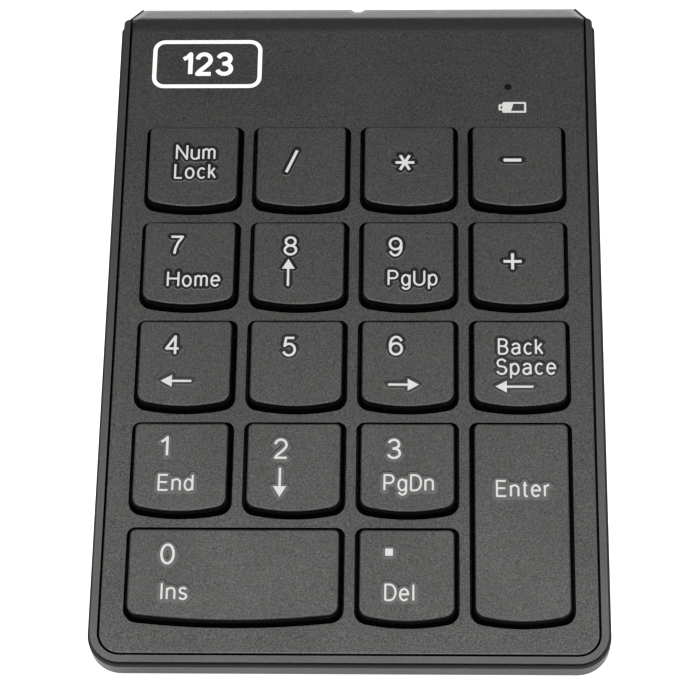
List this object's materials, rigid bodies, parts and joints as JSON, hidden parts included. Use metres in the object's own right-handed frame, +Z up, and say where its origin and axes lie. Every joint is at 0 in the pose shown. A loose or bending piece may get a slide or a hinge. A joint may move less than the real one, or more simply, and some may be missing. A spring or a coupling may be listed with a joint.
{
  "type": "numeric keypad",
  "caption": "Low wedge-shaped wireless numeric keypad with sprung square keys in a flush cover, a wide zero key, a tall enter key and a battery hump at the rear.",
  "frame": {"origin": "bottom centre of the bounding box, on the desk plane under the feet", "axes": "+X to the right, +Y to the rear (away from the user), +Z up; the top surface is tipped 5.66 degrees, rear edge up"},
  "size_m": [0.086, 0.1268, 0.0196],
  "materials": {
    "cover": "fine matt grain, dark grey",
    "rail": "satin, dark grey",
    "case": "fine matt grain, dark grey",
    "keycap": "fine matt grain tops, glossy sides, printed legends",
    "inner_plastic": "plain black moulding",
    "film": "clear polyester film with printed tracks",
    "steel": "bright zinc-plated steel",
    "board": "green solder mask",
    "chip": "black moulded package",
    "led": "clear lens",
    "window": "smoked clear plastic",
    "rubber": "matt black rubber",
    "dome": "translucent silicone",
    "switch_metal": "pressed tin-plated shell",
    "switch_knob": "black, ribbed",
    "cell": "printed sleeve, plain",
    "contact": "nickel-plated",
    "screw": "black-oxide steel"
  },
  "bodies": {
    "root": {"top_cover": "cover", "side_frame": "rail", "bottom_case": "case", "rubber_feet": "rubber", "key_guide_plate": "inner_plastic", "upper_circuit_sheet": "film", "spacer_sheet": "film", "lower_circuit_sheet": "film", "backing_plate": "steel", "main_circuit_board": "board", "controller_chip": "chip", "status_led": "led", "indicator_window": "window", "membrane_pressure_pad": "rubber", "power_switch_body": "switch_metal", "battery_cell": "cell", "positive_contact": "contact", "negative_contact_spring": "contact", "case_screws": "screw", "board_screws": "screw", "dome_num_lock": "dome", "dome_divide": "dome", "dome_multiply": "dome", "dome_minus": "dome", "dome_seven": "dome", "dome_eight": "dome", "dome_nine": "dome", "dome_plus": "dome", "dome_four": "dome", "dome_five": "dome", "dome_six": "dome", "dome_backspace": "dome", "dome_one": "dome", "dome_two": "dome", "dome_three": "dome", "dome_enter": "dome", "dome_zero": "dome", "dome_decimal": "dome"},
    "key_num_lock": {"key_num_lock": "keycap"},
    "key_divide": {"key_divide": "keycap"},
    "key_multiply": {"key_multiply": "keycap"},
    "key_minus": {"key_minus": "keycap"},
    "key_seven": {"key_seven": "keycap"},
    "key_eight": {"key_eight": "keycap"},
    "key_nine": {"key_nine": "keycap"},
    "key_plus": {"key_plus": "keycap"},
    "key_four": {"key_four": "keycap"},
    "key_five": {"key_five": "keycap"},
    "key_six": {"key_six": "keycap"},
    "key_backspace": {"key_backspace": "keycap"},
    "key_one": {"key_one": "keycap"},
    "key_two": {"key_two": "keycap"},
    "key_three": {"key_three": "keycap"},
    "key_enter": {"key_enter": "keycap"},
    "key_zero": {"key_zero": "keycap"},
    "key_decimal": {"key_decimal": "keycap"},
    "stabilizer_wire_zero": {"stabilizer_wire_zero": "steel"},
    "stabilizer_wire_enter": {"stabilizer_wire_enter": "steel"},
    "power_switch_knob": {"power_switch_knob": "switch_knob"},
    "battery_door": {"battery_door": "case"}
  },
  "joints": [
    {"name": "press_num_lock", "type": "slide", "parent": "root", "child": "key_num_lock", "axis": [0, 0.0986, -0.9951], "range_m": [0, 0.002], "stiffness_N_per_m": 250, "springref_m": -0.0004, "deforming": ["dome_num_lock"]},
    {"name": "press_divide", "type": "slide", "parent": "root", "child": "key_divide", "axis": [0, 0.0986, -0.9951], "range_m": [0, 0.002], "stiffness_N_per_m": 250, "springref_m": -0.0004, "deforming": ["dome_divide"]},
    {"name": "press_multiply", "type": "slide", "parent": "root", "child": "key_multiply", "axis": [0, 0.0986, -0.9951], "range_m": [0, 0.002], "stiffness_N_per_m": 250, "springref_m": -0.0004, "deforming": ["dome_multiply"]},
    {"name": "press_minus", "type": "slide", "parent": "root", "child": "key_minus", "axis": [0, 0.0986, -0.9951], "range_m": [0, 0.002], "stiffness_N_per_m": 250, "springref_m": -0.0004, "deforming": ["dome_minus"]},
    {"name": "press_seven", "type": "slide", "parent": "root", "child": "key_seven", "axis": [0, 0.0986, -0.9951], "range_m": [0, 0.002], "stiffness_N_per_m": 250, "springref_m": -0.0004, "deforming": ["dome_seven"]},
    {"name": "press_eight", "type": "slide", "parent": "root", "child": "key_eight", "axis": [0, 0.0986, -0.9951], "range_m": [0, 0.002], "stiffness_N_per_m": 250, "springref_m": -0.0004, "deforming": ["dome_eight"]},
    {"name": "press_nine", "type": "slide", "parent": "root", "child": "key_nine", "axis": [0, 0.0986, -0.9951], "range_m": [0, 0.002], "stiffness_N_per_m": 250, "springref_m": -0.0004, "deforming": ["dome_nine"]},
    {"name": "press_plus", "type": "slide", "parent": "root", "child": "key_plus", "axis": [0, 0.0986, -0.9951], "range_m": [0, 0.002], "stiffness_N_per_m": 250, "springref_m": -0.0004, "deforming": ["dome_plus"]},
    {"name": "press_four", "type": "slide", "parent": "root", "child": "key_four", "axis": [0, 0.0986, -0.9951], "range_m": [0, 0.002], "stiffness_N_per_m": 250, "springref_m": -0.0004, "deforming": ["dome_four"]},
    {"name": "press_five", "type": "slide", "parent": "root", "child": "key_five", "axis": [0, 0.0986, -0.9951], "range_m": [0, 0.002], "stiffness_N_per_m": 250, "springref_m": -0.0004, "deforming": ["dome_five"]},
    {"name": "press_six", "type": "slide", "parent": "root", "child": "key_six", "axis": [0, 0.0986, -0.9951], "range_m": [0, 0.002], "stiffness_N_per_m": 250, "springref_m": -0.0004, "deforming": ["dome_six"]},
    {"name": "press_backspace", "type": "slide", "parent": "root", "child": "key_backspace", "axis": [0, 0.0986, -0.9951], "range_m": [0, 0.002], "stiffness_N_per_m": 250, "springref_m": -0.0004, "deforming": ["dome_backspace"]},
    {"name": "press_one", "type": "slide", "parent": "root", "child": "key_one", "axis": [0, 0.0986, -0.9951], "range_m": [0, 0.002], "stiffness_N_per_m": 250, "springref_m": -0.0004, "deforming": ["dome_one"]},
    {"name": "press_two", "type": "slide", "parent": "root", "child": "key_two", "axis": [0, 0.0986, -0.9951], "range_m": [0, 0.002], "stiffness_N_per_m": 250, "springref_m": -0.0004, "deforming": ["dome_two"]},
    {"name": "press_three", "type": "slide", "parent": "root", "child": "key_three", "axis": [0, 0.0986, -0.9951], "range_m": [0, 0.002], "stiffness_N_per_m": 250, "springref_m": -0.0004, "deforming": ["dome_three"]},
    {"name": "press_enter", "type": "slide", "parent": "root", "child": "key_enter", "axis": [0, 0.0986, -0.9951], "range_m": [0, 0.002], "stiffness_N_per_m": 300, "springref_m": -0.0004, "deforming": ["dome_enter"]},
    {"name": "press_zero", "type": "slide", "parent": "root", "child": "key_zero", "axis": [0, 0.0986, -0.9951], "range_m": [0, 0.002], "stiffness_N_per_m": 300, "springref_m": -0.0004, "deforming": ["dome_zero"]},
    {"name": "press_decimal", "type": "slide", "parent": "root", "child": "key_decimal", "axis": [0, 0.0986, -0.9951], "range_m": [0, 0.002], "stiffness_N_per_m": 250, "springref_m": -0.0004, "deforming": ["dome_decimal"]},
    {"name": "turn_stabilizer_zero", "type": "hinge", "parent": "root", "child": "stabilizer_wire_zero", "pos_m": [-0.019, -0.0423, 0.0067], "axis": [1, 0, 0], "range_deg": [0, 19.6]},
    {"name": "turn_stabilizer_enter", "type": "hinge", "parent": "root", "child": "stabilizer_wire_enter", "pos_m": [0.0223, -0.03901, 0.00702], "axis": [0, 0.9951, 0.0986], "range_deg": [0, 19.6]},
    {"name": "slide_power_switch", "type": "slide", "parent": "root", "child": "power_switch_knob", "axis": [1, 0, 0], "range_m": [0, 0.0025]},
    {"name": "slide_battery_door", "type": "slide", "parent": "root", "child": "battery_door", "axis": [0, 1, 0], "range_m": [0, 0.02]}
  ],
  "couplings": [
    {"joint": "turn_stabilizer_zero", "follows": "press_zero", "rad_per_m": 169.92},
    {"joint": "turn_stabilizer_enter", "follows": "press_enter", "rad_per_m": 169.92}
  ]
}
